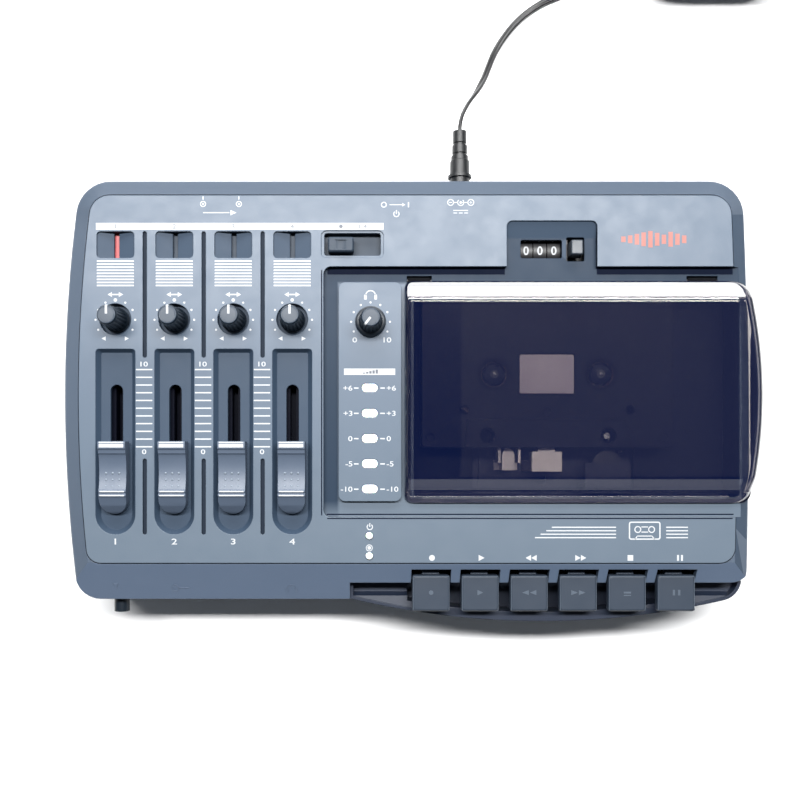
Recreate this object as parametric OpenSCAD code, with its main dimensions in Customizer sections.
// Four track cassette recorder, laid flat on its feet.
// Millimetres, +Z up, +Y to the rear, origin at the middle of the footprint.

/* [Case] */
// Left end of the case at its bulge
case_left = -137.5; // [-138:0.5:-137]
// Right end of the case under the lid
case_right = 134.3; // [134:0.1:134.5]
// Rear face of the case
case_rear = 88; // [87.5:0.5:88.5]
// Front face of the mixer half
case_front = -79; // [-79.5:0.5:-79]
// Height of the control panel above the table
panel_z = 47; // [47:0.1:47.3]
// Height of the joint between the two shells
split_z = 14; // [13:0.5:15]
// Wall thickness of the mouldings
wall = 2.2; // [2:0.1:2.4]
// Width of the sloping rim round the panel
rim_w = 7; // [6.5:0.1:7.2]
// Radius of the rear corners
corner_r = 14; // [13:0.5:15]

/* [Mixer] */
// Centre of the first channel
chan_x = -115.8; // [-116:0.1:-115.6]
// Distance between channels
chan_pitch = 23.05; // [23:0.05:23.1]
// Travel of a fader
fader_travel = 30; // [28:1:30]
// Width of a fader cap
cap_w = 10.6; // [10:0.1:11]
// Centre line of the pan knobs
pan_y = 32.2; // [32:0.1:33]
// Radius of the hole round a pan knob
pan_hole_r = 6.2; // [6:0.1:6.4]
// Height of a knob above the panel
knob_h = 13; // [12:0.5:13.5]
// Radius of the volume knob's skirt
volume_r = 6; // [5.6:0.1:6.2]
// Travel of the track selector
selector_travel = 10.5; // [9:0.5:10.5]

/* [Deck] */
// Distance between the two tape hubs
hub_pitch = 42.5; // [42.5:0.1:42.6]
// Middle of the cassette, across
tape_x = 54.6; // [54:0.1:55]
// Line of the tape hubs
tape_y = 11.3; // [11:0.1:11.6]
// Stroke of the head plate
head_stroke = 4.5; // [4:0.1:4.5]
// Radius of the flywheel
flywheel_r = 20; // [18:0.5:20]

/* [Keys] */
// Centre of the first key
key_x = 8; // [7.8:0.1:8.2]
// Distance between keys
key_pitch = 19.4; // [19.3:0.1:19.5]
// Width of a key cap
key_w = 14.9; // [14.5:0.1:15]
// Angle a key turns through
key_angle = 7; // [6:0.5:7]

/* [Sockets] */
// Radius of the bore of the 6.3 mm sockets
jack_r = 3.25; // [3.2:0.05:3.3]
// Radius of the barrel of the phono sockets
phono_r = 4.15; // [4.1:0.05:4.2]
// Height of the supply socket
dc_z = 29; // [28:0.5:30]

/* [Supply lead] */
// Thickness of the supply lead
lead_d = 2.8; // [2.6:0.1:2.8]

/* [Hidden] */
$fn = 48;
rim_z = panel_z - 0.65;             // rim height at the panel's edge
rim_out = panel_z - 5;              // rim height at the outside
floor_z = panel_z - 2.5;            // floor of the recess for lid and meter
left_r = 600;  left_y = 2.5;        // bulge of the left side
right_r = 2200; right_y = -15;      // slight bulge of the right side
bay_x = -24.2;                      // left end of the key bay
bay_y = -71.7;                      // front face of the case behind the keys
panel_front = -63.1;                // front edge of the panel
apron_k = 0.682;                    // fall of the front apron per mm
tray_r = 330; tray_cx = 53; tray_cy = -88 + tray_r;
tray_z = 35.2;                      // top of the tray's lip
foot_h = 2.5;
hx1 = tape_x - hub_pitch/2;         // supply hub
hx2 = tape_x + hub_pitch/2;         // take-up hub
cap_x = tape_x + 24; cap_y = -13.2; // capstan
roller_y = cap_y - 1.25 - 6 - 0.25 - head_stroke;
lid_px = 47.9; lid_pz = panel_z - 3.45; // lid axis, y and z
vol_x = -16; vol_y = 31.3;
led_x = -16.3; led_y = 5.4; led_pitch = 9.9; // meter lamps, the first at the rear
sel_x = -27.6; sel_y = 61.2;
win_y = 61.4;
key_py = -54; key_pz = 36;          // key shaft, y and z
cnt_y = 60.2; cnt_z = 33.4; cnt_r = 8.5;
dc_x = 20.8;
chan = [for (i = [0:3]) chan_x + chan_pitch*i];
keys = [for (i = [0:5]) key_x + key_pitch*i];
jacks = [-94, -47.5];
phonos = [-81.5, -67.5];
feet = [[-118, 70], [118, 70], [-118, -60], [118, -60]];
screws = [[-128, 50], [126, 62], [-128, -66], [-10, -66], [-14, 74], [128, -64]];

body_c = [0.30, 0.33, 0.37];
dark_c = [0.10, 0.11, 0.13];
key_c = [0.27, 0.29, 0.33];
steel_c = [0.70, 0.71, 0.73];
white_c = [0.92, 0.92, 0.90];

// ---- shared shapes ----
function arc(cx, cy, r, a0, a1, n) = [for (i = [0:n]) let(a = a0 + (a1-a0)*i/n) [cx + r*cos(a), cy + r*sin(a)]];
function open_arc(cx, cy, r, a0, a1, n) = [for (i = [1:n-1]) let(a = a0 + (a1-a0)*i/n) [cx + r*cos(a), cy + r*sin(a)]];
// outline of the case, inset by d at the sides and rear and by df at the front
function plan(d, df, rr, rf, rg) =
  let (RL = left_r - d, RR = right_r - d, xl = case_left + left_r, xr = case_right - right_r,
       yb = case_rear - d, yf = case_front + df,
       y1 = yb - rr, a1 = asin((y1-left_y)/(RL-rr)), y2 = yf + rf, a2 = asin((y2-left_y)/(RL-rf)),
       y3 = yf + rg, a3 = asin((y3-right_y)/(RR-rg)), a4 = asin((y1-right_y)/(RR-rr)))
  concat(arc(xl - (RL-rr)*cos(a1), y1, rr, 90, 180-a1, 8),
         open_arc(xl, left_y, RL, 180-a1, 180-a2, 18),
         arc(xl - (RL-rf)*cos(a2), y2, rf, 180-a2, 270, 7),
         arc(xr + (RR-rg)*cos(a3), y3, rg, 270, 360+a3, 7),
         open_arc(xr, right_y, RR, a3, a4, 8),
         arc(xr + (RR-rr)*cos(a4), y1, rr, a4, 90, 8));
// rounded rectangle as points
function rr_pts(x0, y0, x1, y1, r, n = 5) = concat(
  arc(x1-r, y1-r, r, 0, 90, n), arc(x0+r, y1-r, r, 90, 180, n),
  arc(x0+r, y0+r, r, 180, 270, n), arc(x1-r, y0+r, r, 270, 360, n));
module rr(x0, y0, x1, y1, r) { polygon(rr_pts(x0, y0, x1, y1, r)); }
module block(x0, y0, z0, x1, y1, z1) { translate([x0, y0, z0]) cube([x1-x0, y1-y0, z1-z0]); }
module slab(z0, z1) { translate([0, 0, z0]) linear_extrude(z1-z0) children(); }
module yz(x0, x1) { translate([x0, 0, 0]) rotate([90, 0, 90]) linear_extrude(x1-x0) children(); }
module xz(y0, y1) { translate([0, y1, 0]) rotate([90, 0, 0]) linear_extrude(y1-y0) children(); }
module pin_x(x0, x1, y, z, r) { translate([x0, y, z]) rotate([0, 90, 0]) cylinder(r = r, h = x1-x0); }
module pin_y(x, y0, y1, z, r) { translate([x, y0, z]) rotate([-90, 0, 0]) cylinder(r = r, h = y1-y0); }
module pin_z(x, y, z0, z1, r) { translate([x, y, z0]) cylinder(r = r, h = z1-z0); }
// closed solid through rings of equal point count
module loft(rings) {
  n = len(rings[0]); m = len(rings);
  polyhedron(points = [for (r = rings) for (p = r) p],
    faces = concat([[for (i = [0:n-1]) i]],
      [for (k = [0:m-2]) for (i = [0:n-1]) [k*n+i, (k+1)*n+(i+1)%n, k*n+(i+1)%n]],
      [for (k = [0:m-2]) for (i = [0:n-1]) [k*n+i, (k+1)*n+i, (k+1)*n+(i+1)%n]],
      [[for (i = [n-1:-1:0]) (m-1)*n + i]]));
}
function lift(pts, z) = [for (p = pts) [p[0], p[1], z]];
function well_pts(x, w, y0, y1, r) = concat(arc(x+w-r, y1-r, r, 0, 90, 4), arc(x-w+r, y1-r, r, 90, 180, 4), arc(x, y0+w, w, 180, 360, 20));
function tray_pts(d) = let (R = tray_r - d, r = 9 - d, xc = 125, yc = tray_cy - sqrt(pow(R-r, 2) - pow(xc-tray_cx, 2)),
    a0 = -90 - asin((tray_cx-bay_x-d)/R), a1 = -90 + asin((xc-tray_cx)/(R-r)))
  concat(arc(tray_cx, tray_cy, R, a0, a1, 28), open_arc(xc, yc, r, a1, 0, 7), [[134-d, yc], [134-d, bay_y+4], [bay_x+d, bay_y+4]]);
module plan_bay(d) {
  intersection() { polygon(plan(d, d, corner_r-d, 8-d, 6)); translate([-200, -100]) square([200+bay_x-d, 250]); }
  polygon(plan(d, bay_y-case_front+d, corner_r-d, 6-d, 6-d));
}

// ---- casing ----
module top_case() color(body_c) difference() {
  union() {
    difference() {
      union() {
        intersection() {
          loft([lift(plan(0, 0, corner_r, 8, 6), split_z), lift(plan(0, 0, corner_r, 8, 6), rim_out-0.9),
                lift(plan(0.7, 0.7, corner_r-0.7, 7.3, 5.3), rim_out), lift(plan(rim_w, rim_w, corner_r-rim_w+1, 6, 5), rim_z)]);
          slab(split_z, rim_z) plan_bay(0);
        }
        slab(rim_z-0.5, panel_z) polygon(plan(rim_w+0.3, panel_front-case_front, corner_r-rim_w+0.8, 5.5, 6));
      }
      // sloping apron at the front
      yz(-200, 200) polygon([[panel_front-0.02, rim_z], [panel_front-32, rim_z-32*apron_k], [panel_front-32, 80], [panel_front-0.02, 80]]);
      // inside of the shell, with what stays solid taken out of it
      difference() {
        intersection() {
          loft([lift(plan(wall, wall, corner_r-wall, 5.8, 3.8), split_z-1), lift(plan(wall, wall, corner_r-wall, 5.8, 3.8), rim_out-1.4),
                lift(plan(rim_w+1.2, rim_w+1.2, corner_r-rim_w, 5, 4), panel_z-2.4)]);
          slab(split_z-2, 60) plan_bay(wall);
        }
        yz(-200, 200) polygon([[panel_front, rim_z-2.8], [panel_front-32, rim_z-2.8-32*apron_k], [panel_front-32, 80], [panel_front, 80]]);
        block(-36.6, -47.4, floor_z-wall, 150, 55.1, 60);
        block(35.1, 50, floor_z-wall, 74.9, 73, 60);
        for (x = chan) {
          slab(floor_z-1.6, 60) polygon(well_pts(x, 9.3, -53.6, 22.3, 2));
          pin_z(x, pan_y, floor_z-2.2, 60, pan_hole_r+1.6);
          block(x-9, win_y-6.9, 43.6, x+9, win_y+6.9, 60);
        }
        // bosses for the case screws
        for (s = screws) pin_z(s[0], s[1], split_z-2, 60, 3.2);
      }
      // recess for the meter and the deck, open at the right side
      slab(floor_z, 60) rr(-34.4, -45.2, 160, 52.9, 3);
      intersection() {
        slab(floor_z, 60) rr(37.3, 45, 72.7, 70.8, 2.2);
        yz(37, 73) polygon([[44, floor_z], [64.5, floor_z], [70.9, panel_z-0.7], [70.9, 60], [44, 60]]);
      }
      // fine gap between the rim and the panel
      difference() {
        slab(rim_z-0.55, 60) polygon(plan(rim_w-0.2, panel_front-case_front-0.5, corner_r-rim_w+1.3, 6, 6.5));
        slab(rim_z-1, 61) polygon(plan(rim_w+0.3, panel_front-case_front, corner_r-rim_w+0.8, 5.5, 6));
      }
    }
    // raised island for the meter
    slab(floor_z-0.5, panel_z-0.5) rr(-28.5, -39, -3.9, 46.8, 2.5);
  }
  // deck well with room for the cover's tub, the hinge slots and the holes of the hinge pins
  slab(30, 60) rr(1, -37, 129, 46, 2);
  slab(30, floor_z-wall) rr(-1.5, -39.5, 130.9, 48.4, 3.2);
  block(-1.7, 45, 36, 8.1, 49.6, 60);
  block(108.5, 45, 36, 120.7, 49.6, 60);
  pin_x(-3.6, 10, lid_px, lid_pz, 0.78);
  pin_x(106.6, 122.6, lid_px, lid_pz, 0.78);
  for (x = chan) {
    // fader well with sloping sides, and the slot for the lever
    loft([lift(well_pts(x, 6.1, -50.2, 19.4, 0.6), floor_z+0.3), lift(well_pts(x, 7.85, -52, 20.7, 1.4), panel_z+0.05), lift(well_pts(x, 7.85, -52, 20.7, 1.4), 60)]);
    block(x-2.45, -26, 36, x+2.45, 4.35, 60);
    pin_z(x, 4.35, 36, 60, 2.45);
    pin_z(x, -26, 36, 60, 2.45);
    // hole round the pan knob
    pin_z(x, pan_y, floor_z-0.6, 60, pan_hole_r);
    pin_z(x, pan_y, 36, 60, 3.5);
    // window with two slopes down to the slit
    intersection() {
      slab(40, 60) rr(x-7.35, win_y-5.2, x+7.35, win_y+5.2, 1.5);
      xz(win_y-6, win_y+6) polygon([[x-8, 60], [x-8, panel_z-0.5], [x-1, 44.9], [x-1, 40], [x+1, 40], [x+1, 44.9], [x+8, panel_z-0.5], [x+8, 60]]);
    }
  }
  // grooves between the channels
  for (i = [0:2]) {
    gx = chan[i] + 11.5;
    slab(panel_z-0.8, 60) rr(gx-0.8, 17.2, gx+0.8, 66.6, 0.78);
    slab(panel_z-0.8, 60) rr(gx-0.8, -52, gx+0.8, -22.3, 0.78);
  }
  // track selector opening, its frame step
  slab(36, 60) rr(-34.1, 57.2, -12, 66, 1);
  slab(panel_z-0.5, 60) rr(-35.3, 56.3, -10.9, 66.9, 2);
  // volume knob, meter lamps, status lamps
  pin_z(vol_x, vol_y, 36, 60, 3.5);
  for (i = [0:4]) slab(36, 60) rr(led_x-3.2, led_y-led_pitch*i-1.8, led_x+3.2, led_y-led_pitch*i+1.8, 1.7);
  pin_z(vol_x-0.5, -52.5, 36, 60, 1.6);
  pin_z(vol_x-0.5, -60.4, 36, 60, 1.6);
  // counter window and reset button
  slab(36, 60) rr(43.1, 56.6, 59.4, 63.8, 0.8);
  slab(36, 60) rr(61.1, 55.4, 68.2, 64.8, 0.6);
  // key notches through the apron and the wall
  for (x = keys) block(x-key_w/2-0.4, bay_y-1, 30.5, x+key_w/2+0.4, -66, 60);
  // front sockets, trim knob
  for (x = jacks) pin_y(x, case_front-1, case_front+4, 23, 5.1);
  pin_y(-118.5, case_front-1, case_front+4, 27, 2.9);
  // rear sockets and switch slot
  for (x = phonos) pin_y(x, case_rear-4, case_rear+1, 26, 6);
  pin_y(dc_x, case_rear-4, case_rear+1, dc_z, 4.6);
  block(-8.2, case_rear-4, 26.8, 2.2, case_rear+1, 31.2);
  for (s = screws) pin_z(s[0], s[1], 0, split_z+12, 1.2);
}

module bottom_case() color(body_c) difference() {
  union() {
    slab(foot_h, split_z) plan_bay(0);
    intersection() {
      slab(foot_h, tray_z) polygon(tray_pts(0));
      union() { block(-30, -95, 0, 140, bay_y, 60); block(-30, -95, 0, 140, -60, split_z); }
    }
  }
  // inside of the floor shell and of the tray
  difference() {
    slab(foot_h+2.5, 60) plan_bay(wall);
    block(bay_x-2.2, -90, 0, 200, bay_y, 60);
    for (s = screws) pin_z(s[0], s[1], 0, split_z, 3.2);
    for (p = [[6, -33], [124, -33], [6, 40], [124, 40]]) pin_z(p[0], p[1], 0, split_z, 4);
    for (p = feet) pin_z(p[0], p[1], 0, foot_h+4, 5);
  }
  intersection() { slab(foot_h+2.5, 21.8) polygon(tray_pts(wall)); block(bay_x+wall, -90, 0, 140, bay_y+0.5, 60); }
  // channel along the foot of the wall, and the pit under the keys
  intersection() {
    yz(bay_x+0.01, 133) polygon([[bay_y+1, 30.5], [-76.6, 30.5], [-77.8, tray_z-0.7], [-82.6, tray_z-0.1], [-82.6, 60], [bay_y+1, 60]]);
    slab(0, 60) polygon(tray_pts(1.3));
  }
  intersection() {
    block(-1, -90, 24, 114.6, bay_y+0.5, 60);
    slab(0, 60) polygon(tray_pts(3.7));
  }
  for (s = screws) { pin_z(s[0], s[1], 0, 60, 1.5); pin_z(s[0], s[1], 0, 5, 3.1); }
  for (p = feet) pin_z(p[0], p[1], 0, foot_h+1, 7.1);
}

module rubber_feet() color(dark_c) for (p = feet) difference() {
  pin_z(p[0], p[1], 0, foot_h+1, 7);
  pin_z(p[0], p[1], -1, 0.8, 3);
}

module case_screws() color(steel_c) for (s = screws) difference() {
  union() { pin_z(s[0], s[1], 3.2, 5, 2.9); pin_z(s[0], s[1], 4.9, split_z+10, 1.15); }
  block(s[0]-1.7, s[1]-0.35, 3, s[0]+1.7, s[1]+0.35, 4);
  block(s[0]-0.35, s[1]-1.7, 3, s[0]+0.35, s[1]+1.7, 4);
}

// lid: outline in plan, profile from rear to front
lid_l = -2.6; lid_r = 137.5; lid_arc = 185; lid_b = 47.3; lid_f = -39.7; lid_z = panel_z + 3.5; lid_low = floor_z + 0.7;
function lid_profile(d) = concat(
  [[lid_f+d, lid_low-d*5], [lid_f+d, lid_low+0.6-d*0.3], [-29.7-d*0.4, lid_z-d]],
  [for (i = [0:8]) let(a = 90-90*i/8) [41.8 + (5.5-d)*cos(a), lid_z-5.5 + (5.5-d)*sin(a)]], [[lid_b-d, lid_low-d*5]]);
module lid_plan(d) intersection() {
  rr(lid_l+d, lid_f+d, 160, lid_b-d, 3);
  translate([lid_r-lid_arc, 2.5]) circle(r = lid_arc-d, $fn = 360);
  rr(-20, lid_f+d, 137.5, lid_b-d, 5);
}
module lid() color([0.12, 0.12, 0.20, 0.6]) {
  difference() {
    union() {
      intersection() { slab(lid_low, lid_z+1) lid_plan(0); yz(-20, 150) polygon(lid_profile(0)); }
      intersection() { slab(panel_z-5.6, panel_z) lid_plan(0); block(case_right+0.7, -60, 0, 150, 60, 60); }
    }
    intersection() { slab(0, lid_z-2) lid_plan(2); yz(-20, case_right-1.5) polygon(lid_profile(2)); }
  }
  // hinge arms
  for (h = [[-1.2, 7.6], [109, 120.2]]) difference() {
    union() {
      pin_x(h[0], h[1], lid_px, lid_pz, 1.25);
      yz(h[0], h[1]) polygon([[45.6, lid_low+0.02], [46.5, floor_z+0.4], [46.66, lid_pz], [lid_px, lid_pz], [lid_px, lid_pz+1.25], [lid_b, lid_low+0.4], [lid_b-0.1, lid_low+1.2], [45.6, lid_low+1.4]]);
    }
    pin_x(h[0]-1, h[1]+1, lid_px, lid_pz, 0.8);
  }
}
module lid_hinge_pins() color(steel_c) {
  pin_x(-3.4, 9.8, lid_px, lid_pz, 0.75);
  pin_x(106.8, 122.4, lid_px, lid_pz, 0.75);
}

// ---- deck ----
module deck_cover() color(dark_c) difference() {
  union() {
    difference() {
      slab(26.8, floor_z-wall) rr(-1.2, -39.2, 130.6, 48.1, 3);
      slab(28.4, 60) rr(0.9, -37.1, 128.9, 46.2, 2);
    }
    // rests for the cassette and feet of the cover
    for (p = [[10, 38], [99, 38], [10, 0], [99, 0]]) block(p[0]-3, p[1]-3, 28, p[0]+3, p[1]+3, 30.5);
    for (p = [[15, -33], [120, -33], [15, 41], [120, 41]]) pin_z(p[0], p[1], 24.6, 27, 3);
    block(1, -37.1, 28, 128.9, -34.9, 34);
  }
  for (x = [hx1, hx2]) pin_z(x, tape_y, 20, 30, 6.2);
  pin_z(cap_x, cap_y, 20, 30, 3);
  block(26, -34.4, 20, 92, -16.6, 30);
  block(-1.9, 45, 40.4, 8.3, 50, 60);
  block(108.3, 45, 40.4, 120.9, 50, 60);
}
module deck_chassis() color(steel_c) difference() {
  union() {
    block(2, -38, 23, 128, 44, 24.6);
    block(-4, -58, 23, 118, -38, 24.6);
    for (p = [[6, -33], [124, -33], [6, 40], [124, 40]]) pin_z(p[0], p[1], split_z, 23.1, 3.5);
    for (x = [hx1, hx2]) pin_z(x, tape_y, 19, 23.1, 3.4);
    pin_z(cap_x, cap_y, 20.6, 24.8, 3);
  }
  for (x = [hx1, hx2]) pin_z(x, tape_y, 18, 26, 1.55);
  pin_z(cap_x, cap_y, 18, 28, 1.3);
  for (x = [32, 88]) block(x-1.1, -28, 22, x+1.1, -19, 26);
}
module cassette_shell() color([0.16, 0.16, 0.18]) difference() {
  union() {
    slab(30.5, 39.2) rr(4.4, -18, 104.8, 45.8, 1.6);
    slab(28.9, 40.9) polygon([[21.4, -18], [87.8, -18], [86.4, -6.6], [22.8, -6.6]]);
  }
  // space for the reels, hub openings, window
  slab(32, 37.7) rr(7, -7.5, 102.2, 43, 3);
  for (x = [hx1, hx2]) pin_z(x, tape_y, 20, 50, 6.2);
  slab(36, 50) rr(43.4, 3.5, 65.4, 19.4, 0.8);
  // head openings in the front edge, capstan and locating holes
  block(47.1, -20, 31.2, 62.1, -9.6, 38.6);
  block(33.2, -20, 31.2, 45.2, -10.6, 38.6);
  block(71, -20, 31.2, 86.2, -9.6, 38.6);
  for (s = [-24, 24]) pin_z(tape_x+s, cap_y, 20, 50, 3);
  for (s = [-33, 33]) pin_z(tape_x+s, -3, 20, 50, 1.8);
  for (p = [[8, -14], [101.2, -14], [8, 42], [101.2, 42], [tape_x, -4]]) pin_z(p[0], p[1], 38.6, 50, 1.6);
}
module cassette_window() color([0.85, 0.80, 0.80]) slab(37.8, 39.1) rr(43.6, 3.7, 65.2, 19.2, 0.7);
module reel(x, pack) difference() {
  union() { pin_z(x, tape_y, 32.8, 36.9, pack); pin_z(x, tape_y, 32.4, 38.4, 6); }
  pin_z(x, tape_y, 30, 40, 4.9);
  difference() { pin_z(x, tape_y, 30, 32.8, 30); pin_z(x, tape_y, 29, 33, 6); }
}
module supply_reel() color([0.35, 0.22, 0.15]) reel(hx1, 18.3);
module takeup_reel() color([0.35, 0.22, 0.15]) reel(hx2, 14);
module spindle(x) {
  difference() {
    union() {
      pin_z(x, tape_y, 25, 26.4, 10.5);
      pin_z(x, tape_y, 26.3, 38, 4.1);
      translate([x, tape_y, 38]) cylinder(r1 = 4.1, r2 = 1.6, h = 2.2);
    }
    pin_z(x, tape_y, 24, 25.6, 4.2);
  }
  pin_z(x, tape_y, 19, 26, 1.5);
  for (a = [0, 120, 240]) translate([x, tape_y, 32]) rotate([0, 0, a]) block(3.6, -0.5, 0, 4.75, 0.5, 5.6);
}
module supply_spindle() color(dark_c) spindle(hx1);
module takeup_spindle() color(dark_c) spindle(hx2);
module capstan_flywheel() color(steel_c) {
  pin_z(cap_x, cap_y, 9, 38.4, 1.25);
  rotate_extrude_at(cap_x, cap_y) polygon([[1.2, 12.6], [flywheel_r, 12.6], [flywheel_r, 18.6], [6, 18.6], [6, 20.2], [1.2, 20.2]]);
  rotate_extrude_at(cap_x, cap_y) polygon([[1.2, 8.4], [17.6, 8.4], [17.6, 9], [16.6, 9.2], [16.6, 11], [17.6, 11.2], [17.6, 12.7], [1.2, 12.7]]);
}
module rotate_extrude_at(x, y) { translate([x, y, 0]) rotate_extrude($fn = 96) children(); }
mot_x = 112; mot_y = 16;
module drive_motor() color(steel_c) difference() {
  union() { pin_z(mot_x, mot_y, 13.4, 22.9, 13); pin_z(mot_x, mot_y, 12.6, 13.5, 4); }
  pin_z(mot_x, mot_y, 0, 20, 1.08);
}
module motor_pulley() color([0.78, 0.62, 0.32]) {
  rotate_extrude_at(mot_x, mot_y) polygon([[0, 8.6], [4.6, 8.6], [4.6, 9], [3.8, 9.2], [3.8, 11], [4.6, 11.2], [4.6, 11.6], [0, 11.6]]);
  pin_z(mot_x, mot_y, 11.5, 18, 1);
}
function belt_pts(e) = let (dx = mot_x-cap_x, dy = mot_y-cap_y, r1 = 16.8+e, r2 = 4.1+e, a = atan2(dy, dx), b = acos((r1-r2)/norm([dx, dy])))
  concat(arc(cap_x, cap_y, r1, a+b, 360+a-b, 40), arc(mot_x, mot_y, r2, a-b, a+b, 16));
module drive_belt() color(dark_c) slab(9.5, 10.7) difference() { polygon(belt_pts(0.7)); polygon(belt_pts(0)); }
module head_plate() color(steel_c) {
  difference() {
    union() { block(29, -36.5, 25, 91, -20.2, 26.2); block(36, -43.6, 25, 48, -36, 26.2); }
    pin_z(tape_x, -31, 20, 30, 2);
  }
  for (x = [32, 88]) block(x-0.9, -26.5, 23.2, x+0.9, -24.9, 25.1);
  // axle and bracket of the roller
  pin_z(cap_x, roller_y, 26.1, 38.8, 1.2);
  pin_z(cap_x, roller_y, 26.1, 31.2, 2.2);
  block(cap_x-9, roller_y-8.6, 26.1, cap_x+9, roller_y-7, 39.8);
  block(cap_x-9, roller_y-7.2, 38.6, cap_x+9, roller_y+1.2, 39.8);
}
module record_head() color([0.80, 0.80, 0.80]) {
  block(tape_x-6, -27.5, 31.5, tape_x+6, -19.6, 38.2);
  xz(-27.5, -23) polygon([[tape_x-8.3, 26.2], [tape_x+8.3, 26.2], [tape_x+8.3, 28.4], [tape_x+6, 31.6], [tape_x-6, 31.6], [tape_x-8.3, 28.4]]);
  translate([tape_x, -19.7, 31.7]) cylinder(r = 3.4, h = 6);
}
module erase_head() color([0.80, 0.80, 0.80]) {
  block(35, -27, 26.2, 44.6, -23, 27.4);
  block(37, -27, 27.3, 41.8, -23, 31.6);
  block(36.9, -27, 31.5, 41.9, -20.4, 36.8);
  pin_z(39.4, -20.4, 31.8, 36.5, 2.2);
  for (x = [35.7, 43.6]) {
    block(x-0.5, -24, 27.3, x+0.5, -23, 38);
    block(x-0.5, -23.1, 31.6, x+0.5, -17.9, 38);
  }
}
module pinch_roller() color(dark_c) difference() {
  pin_z(cap_x, roller_y, 31.6, 38.2, 6);
  pin_z(cap_x, roller_y, 30, 39, 1.25);
}

// ---- keys ----
module key(i) color(key_c) difference() {
  union() {
    x = keys[i];
    // cap: flat plate with bevelled edges
    loft([lift(rr_pts(x-key_w/2, -82.8, x+key_w/2, -68.4, 0.9, 3), 39.6), lift(rr_pts(x-key_w/2, -82.8, x+key_w/2, -68.4, 0.9, 3), 42.4),
          lift(rr_pts(x-key_w/2+0.7, -82.1, x+key_w/2-0.7, -69.1, 0.8, 3), 43.1)]);
    // arm and hub
    yz(x-3.4, x+3.4) polygon([[-78.4, 39.8], [-78.4, 37.2], [-73, 34.6], [key_py, 33.2], [-47, 34.6], [-47, 37], [key_py, 38.6], [-62, 37.6], [-67.5, 39.7]]);
    pin_x(x-4.4, x+4.4, key_py, key_pz, 3.3);
  }
  pin_x(keys[i]-10, keys[i]+10, key_py, key_pz, 1.56);
}
module key_record() key(0);
module key_play() key(1);
module key_rewind() key(2);
module key_forward() key(3);
module key_stop() key(4);
module key_pause() key(5);
module key_shaft() color(steel_c) {
  pin_x(-3, 116, key_py, key_pz, 1.5);
  for (x = [-3.4, 113.9]) block(x, key_py-3, 24.6, x+2.6, -40.2, key_pz+3);
}
module key_springs() color(steel_c) for (i = [0:4]) let(x = keys[i]+key_pitch/2) {
  for (k = [-2:2]) translate([x+k*1.1, key_py, key_pz]) rotate([0, 90, 0]) rotate_extrude($fn = 32) translate([2.15, 0]) circle(r = 0.45, $fn = 16);
  // the wire that joins the turns, and its end on the deck plate
  block(x-2.4, key_py-2.4, key_pz-0.35, x+2.4, key_py-1.9, key_pz+0.35);
  block(x-0.35, key_py+1.9, 24.6, x+0.35, key_py+2.6, key_pz);
}

// ---- mixer ----
module fader_cap(i) color(body_c) {
  x = chan[i];
  difference() {
    // side profile, then the round nose in plan
    intersection() {
      yz(x-cap_w/2, x+cap_w/2) polygon([[-43.9, 46.4], [-15.5, 46.4], [-15.5, 52.6], [-16, 53.1], [-18.4, 53.1], [-18.8, 52.5], [-20.3, 52.3],
        [-20.6, 51.7], [-23.5, 51], [-27, 50.7], [-31, 50.9], [-34.3, 51.7], [-34.6, 52.1], [-35.2, 52.1], [-35.5, 51.7], [-35.9, 51.7], [-36.2, 52.1], [-36.8, 52.1], [-37.2, 51.6],
        [-40.5, 50.3], [-43, 48.4], [-43.9, 47.2]]);
      slab(40, 60) union() { block2(x-cap_w/2, -38.6, x+cap_w/2, -15); translate([x, -38.6]) circle(r = cap_w/2); }
    }
    intersection() { slab(46, 49) union() { block2(x-cap_w/2+1.1, -38.6, x+cap_w/2-1.1, -16.6); translate([x, -38.6]) circle(r = cap_w/2-1.1); } yz(x-5, x+5) polygon([[-42.6, 46], [-16.6, 46], [-16.6, 49], [-38, 49], [-42.6, 47]]); }
  }
  block(x-2, -30, 45.3, x+2, -22, 50);
  block(x-0.8, -28, 36.2, x+0.8, -24, 45.6);
}
module block2(x0, y0, x1, y1) { translate([x0, y0]) square([x1-x0, y1-y0]); }
module fader_cap_1() fader_cap(0);
module fader_cap_2() fader_cap(1);
module fader_cap_3() fader_cap(2);
module fader_cap_4() fader_cap(3);
module fader_pots() color(steel_c) for (x = chan) difference() {
  block(x-4.4, -33.5, 33.8, x+4.4, 11.5, 41.2);
  block(x-1.2, -29, 35.6, x+1.2, 7, 50);
}
// fluted knob: shaft below, tapered cap above, a skirt of radius rs
module knob(x, y, zs, rs) color(dark_c) {
  zt = panel_z + knob_h;
  translate([x, y, 0]) {
    difference() {
      union() {
        translate([0, 0, zs]) cylinder(r1 = rs, r2 = rs-0.5, h = 1.6);
        translate([0, 0, zs+1.5]) cylinder(r1 = 4.5, r2 = 3.75, h = zt-zs-2.1);
        translate([0, 0, zt-0.65]) cylinder(r1 = 3.75, r2 = 3.3, h = 0.65);
        for (a = [0:20:340]) rotate([0, 0, a]) translate([4.1, 0, zs+1.4]) rotate([0, -5, 0]) cylinder(r = 0.5, h = zt-zs-3.4, $fn = 16);
      }
      translate([0, 0, zs-1]) cylinder(r = 2.2, h = 4);
    }
    translate([0, 0, 37]) cylinder(r = 3, h = zs-37+0.01);
    translate([0, 0, zs-0.5]) cylinder(r = 2.2, h = 5);
  }
}
module pan_knob_1() knob(chan[0], pan_y, floor_z+0.2, 4.9);
module pan_knob_2() knob(chan[1], pan_y, floor_z+0.2, 4.9);
module pan_knob_3() knob(chan[2], pan_y, floor_z+0.2, 4.9);
module pan_knob_4() knob(chan[3], pan_y, floor_z+0.2, 4.9);
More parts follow.
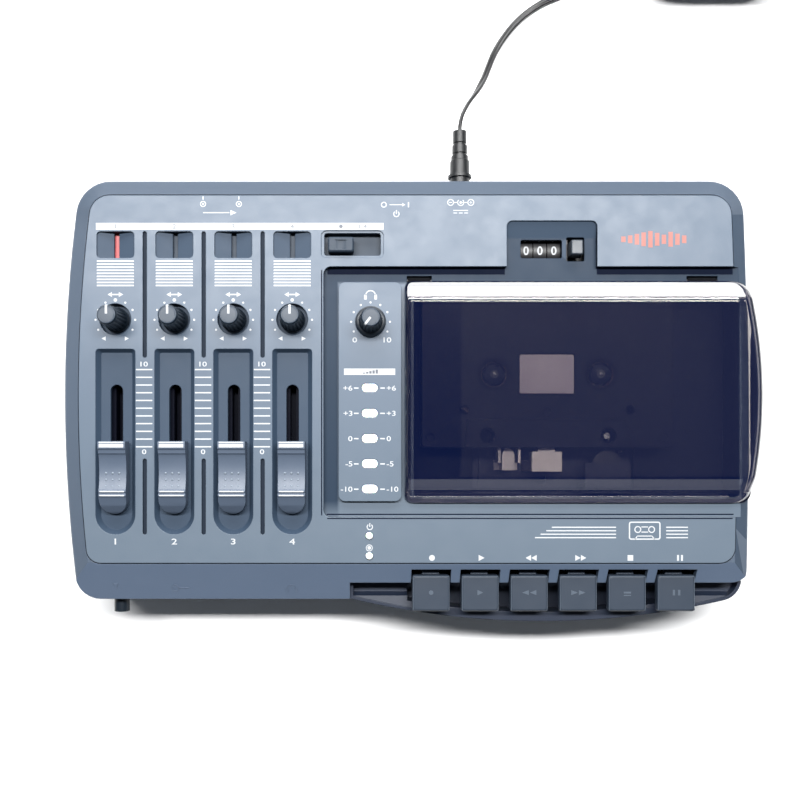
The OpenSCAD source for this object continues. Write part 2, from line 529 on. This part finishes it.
module volume_knob() knob(vol_x, vol_y, panel_z-0.1, volume_r);
module rotary_pots() color(steel_c) {
  for (p = concat([for (x = chan) [x, pan_y]], [[vol_x, vol_y]])) difference() {
    union() { block(p[0]-5.5, p[1]-5.5, 33.8, p[0]+5.5, p[1]+5.5, 40.4); pin_z(p[0], p[1], 40.3, 42.6, 3.45); }
    pin_z(p[0], p[1], 36, 50, 3.05);
  }
  // the small one behind the trim knob
  difference() {
    union() { block(-123.5, -72, 22, -113.5, -66, 32); pin_y(-118.5, -76.7, -71.9, 27, 3.4); }
    pin_y(-118.5, -80, -68, 27, 1.55);
  }
}
module track_selector() color([0.33, 0.36, 0.40]) {
  // flat slider that lies under the four windows and the opening
  block(-127.6, 55.6, 42.2, -11.4, 67.4, 43.2);
  // knob
  difference() {
    loft([lift(rr_pts(sel_x-5, 58.3, sel_x+5, 64.1, 0.8, 3), 43.1), lift(rr_pts(sel_x-5, 58.3, sel_x+5, 64.1, 0.8, 3), 48.4), lift(rr_pts(sel_x-4.5, 58.8, sel_x+4.5, 63.6, 0.7, 3), 48.9)]);
    translate([sel_x, 61.2, 54.6]) rotate([90, 0, 0]) cylinder(r = 6.2, h = 3.4, center = true);
  }
}

// ---- counter ----
module counter_frame() color(dark_c) difference() {
  union() {
    for (x = [40.6, 60.4]) block(x, 51.4, 22, x+1.6, 69.2, floor_z-wall);
    block(40.6, 51.4, 20.6, 69.6, 69.2, 22.2);
    pin_x(41, 62, cnt_y, cnt_z, 1.5);
    difference() { block(62.5, 54.4, 22, 69.6, 66, 39); block(64, 57.9, 24, 68.4, 62.8, 41); }
  }
  block(62.5, 51, 38.6, 70, 70, 60);
}
module counter_wheel(k) color([0.06, 0.06, 0.07]) difference() {
  pin_x(43.2+5.5*k, 48.3+5.5*k, cnt_y, cnt_z, cnt_r);
  pin_x(40, 62, cnt_y, cnt_z, 1.56);
}
module counter_wheel_1() counter_wheel(2);
module counter_wheel_2() counter_wheel(1);
module counter_wheel_3() counter_wheel(0);
module counter_reset() color(dark_c) {
  loft([lift(rr_pts(62.3, 57.4, 67, 63.2, 0.5, 3), 41), lift(rr_pts(62.3, 57.4, 67, 63.2, 0.5, 3), 47.7), lift(rr_pts(62.7, 57.8, 66.6, 62.8, 0.4, 3), 48.1)]);
  block(64.3, 58.2, 28, 66.7, 62.4, 41.1);
}

// ---- lamps, boards, sockets ----
module led_lenses() color(white_c) {
  for (i = [0:4]) {
    slab(37, panel_z-0.4) rr(led_x-3.05, led_y-led_pitch*i-1.65, led_x+3.05, led_y-led_pitch*i+1.65, 1.55);
    slab(36.2, 38) rr(led_x-3.6, led_y-led_pitch*i-2.2, led_x+3.6, led_y-led_pitch*i+2.2, 0.5);
  }
  for (y = [-52.5, -60.4]) {
    pin_z(vol_x-0.5, y, 37, panel_z-0.5, 1.45);
    translate([vol_x-0.5, y, panel_z-0.5]) intersection() { sphere(r = 1.45); pin_z(0, 0, 0, 3, 3); }
    pin_z(vol_x-0.5, y, 36.2, 37.1, 1.9);
  }
}
module control_board() color([0.15, 0.35, 0.2]) difference() {
  union() {
    slab(32.2, 33.8) union() { rr(-127, -41, -6, 44, 1); rr(-40, -64, -13.8, -38, 1); }
    for (i = [0:4]) block(led_x-2.7, led_y-led_pitch*i-1.4, 33.7, led_x+2.7, led_y-led_pitch*i+1.4, 36.2);
    for (y = [-52.5, -60.4]) block(vol_x-2, y-1.3, 33.7, vol_x+1, y+1.3, 36.2);
  }
  for (x = chan) pin_z(x+11.5, 38, 30, 40, 1.6);
}
module main_board() color([0.15, 0.35, 0.2]) {
  slab(9, 10.6) union() { rr(-124, -42, -26, 44, 1); rr(-112, 40, -20, 82, 1); }
  for (p = [[-110, -30], [-84, -28], [-58, -30], [-90, 10], [-60, 20], [-104, 62]]) block(p[0], p[1], 10.5, p[0]+14, p[1]+7, 14);
  for (p = [[-50, -10], [-44, -2], [-38, -14], [-100, 30], [-72, 40]]) pin_z(p[0], p[1], 10.5, 20, 3);
}
module front_jacks() color(dark_c) for (x = jacks) difference() {
  union() { block(x-7, -76.7, 16, x+7, -47, 30); pin_y(x, case_front, -76.6, 23, 5); }
  pin_y(x, case_front-1, -48.6, 23, jack_r);
}
module trim_knob() color(dark_c) {
  pin_y(-118.5, -85.2, -79.4, 27, 3.1);
  pin_y(-118.5, -79.5, -69, 27, 1.5);
}
module line_out_jacks() color(dark_c) {
  block(-88.4, 70, 19.5, -60.6, 78.4, 32.5);
  for (x = phonos) difference() {
    pin_y(x, 78.3, 87.4, 26, phono_r);
    pin_y(x, 74, 90, 26, 1.6);
  }
}
module dc_jack() color(dark_c) {
  difference() {
    union() { block(dc_x-5, 72, dc_z-5.5, dc_x+5, case_rear-2.3, dc_z+5.5); pin_y(dc_x, case_rear-2.4, case_rear, dc_z, 4.5); }
    pin_y(dc_x, 76, 90, dc_z, 2.8);
  }
  pin_y(dc_x, 75, 86.6, dc_z, 1);
}
module power_slider() color(dark_c) {
  block(-7.9, 85.6, 27.1, -3.9, 87.8, 30.9);
  block(-10.6, 83.4, 26.2, 0.4, 85.7, 31.8);
}

// ---- supply lead ----
// plug with its ribbed strain relief
module dc_plug() color(dark_c) difference() {
  union() {
    pin_y(dc_x, 78, 88.5, dc_z, 2.75);
    translate([dc_x, 0, dc_z]) rotate([-90, 0, 0]) rotate_extrude() polygon([[0, 88.4], [3.9, 88.4], [3.9, 92.6], [4.83, 92.7], [4.83, 93.8], [4.05, 94], [3.95, 99.7], [3.5, 100],
      [3.5, 101.8], [2.7, 101.9], [2.7, 102.7], [3.1, 102.9], [3.1, 106.1], [2.4, 106.2], [2.4, 107], [2.8, 107.2], [2.8, 112], [0, 112]]);
  }
  pin_y(dc_x, 77, 89, dc_z, 1.1);
}
// route of the lead from the plug to the coil, and from the coil to the adaptor
route_a = [[20.8, 112, 29], [21, 115, 29], [21.8, 118.5, 28.6], [23.3, 122, 27.5], [25.5, 126, 25.2], [28.2, 130.5, 22], [31, 136, 17.8], [33.6, 142, 13], [36, 148.5, 8.6],
  [38.6, 155, 5], [41.8, 161, 2.7], [45.6, 166.5, 1.7], [50, 171.4, 1.4], [55, 175.5, 1.4], [60.5, 178.9, 1.4], [66.5, 181.5, 1.4], [72.8, 184, 1.4], [79.2, 186.3, 1.4]];
route_b = [[86.6, 190.2, 9.6], [91, 193.2, 9.8], [95.4, 195.4, 10], [97.8, 196, 10], [99.6, 196, 10]];
coil_x = 72; coil_y = 206; coil_in = 11; coil_out = 22.4; coil_h = 11.4;
function unit(v) = v / norm(v);
function path_dir(p, i) = unit(p[min(i+1, len(p)-1)] - p[max(i-1, 0)]);
function ring(p, t, r) = let (s = unit(cross(t, [0, 0, 1])), u = cross(s, t)) [for (k = [0:7]) p + r*(cos(45*k+22.5)*s - sin(45*k+22.5)*u)];
// one more point between every two, on a smooth curve
function mid(p, i) = (p[i]+p[i+1])*9/16 - (p[max(i-1, 0)] + p[min(i+2, len(p)-1)])/16;
function finer(p) = [for (i = [0:2*len(p)-2]) i%2 == 0 ? p[i/2] : mid(p, (i-1)/2)];
module sweep(p, r) { loft([for (i = [0:len(p)-1]) ring(p[i], path_dir(p, i), r)]); }
module dc_lead() color(dark_c) { sweep(finer(route_a), lead_d/2); sweep(finer(route_b), lead_d/2); }
module lead_coil() color(dark_c) translate([coil_x, coil_y, 0]) rotate_extrude($fn = 96) polygon(rr_pts(coil_in, 0, coil_out, coil_h, 1.4, 4));
module power_adaptor() color(dark_c) {
  difference() {
    loft([lift(rr_pts(108, 182.4, 158, 212, 4, 4), 1), lift(rr_pts(107, 181.4, 159, 213, 4, 4), 3), lift(rr_pts(107, 181.4, 159, 213, 4, 4), 27), lift(rr_pts(109, 183.4, 157, 211, 4, 4), 29)]);
    block(158.4, 180, 13.6, 160, 214, 14);
  }
  slab(0, 1.1) rr(112, 186, 154, 208, 3);
  translate([0, 196, 10]) rotate([0, 90, 0]) rotate_extrude() polygon([[0, 100], [2.4, 100], [2.8, 103], [3.6, 107.2], [0, 107.2]]);
  for (y = [191, 203.7]) block(158.9, y-0.75, 10, 175, y+0.75, 16.4);
}

top_case();
bottom_case();
rubber_feet();
case_screws();
lid();
lid_hinge_pins();
deck_cover();
deck_chassis();
cassette_shell();
cassette_window();
supply_reel();
takeup_reel();
supply_spindle();
takeup_spindle();
capstan_flywheel();
drive_motor();
motor_pulley();
drive_belt();
head_plate();
record_head();
erase_head();
pinch_roller();
key_record();
key_play();
key_rewind();
key_forward();
key_stop();
key_pause();
key_shaft();
key_springs();
fader_cap_1();
fader_cap_2();
fader_cap_3();
fader_cap_4();
fader_pots();
pan_knob_1();
pan_knob_2();
pan_knob_3();
pan_knob_4();
volume_knob();
rotary_pots();
track_selector();
counter_frame();
counter_wheel_1();
counter_wheel_2();
counter_wheel_3();
counter_reset();
led_lenses();
control_board();
main_board();
front_jacks();
trim_knob();
line_out_jacks();
dc_jack();
power_slider();
dc_plug();
dc_lead();
lead_coil();
power_adaptor();
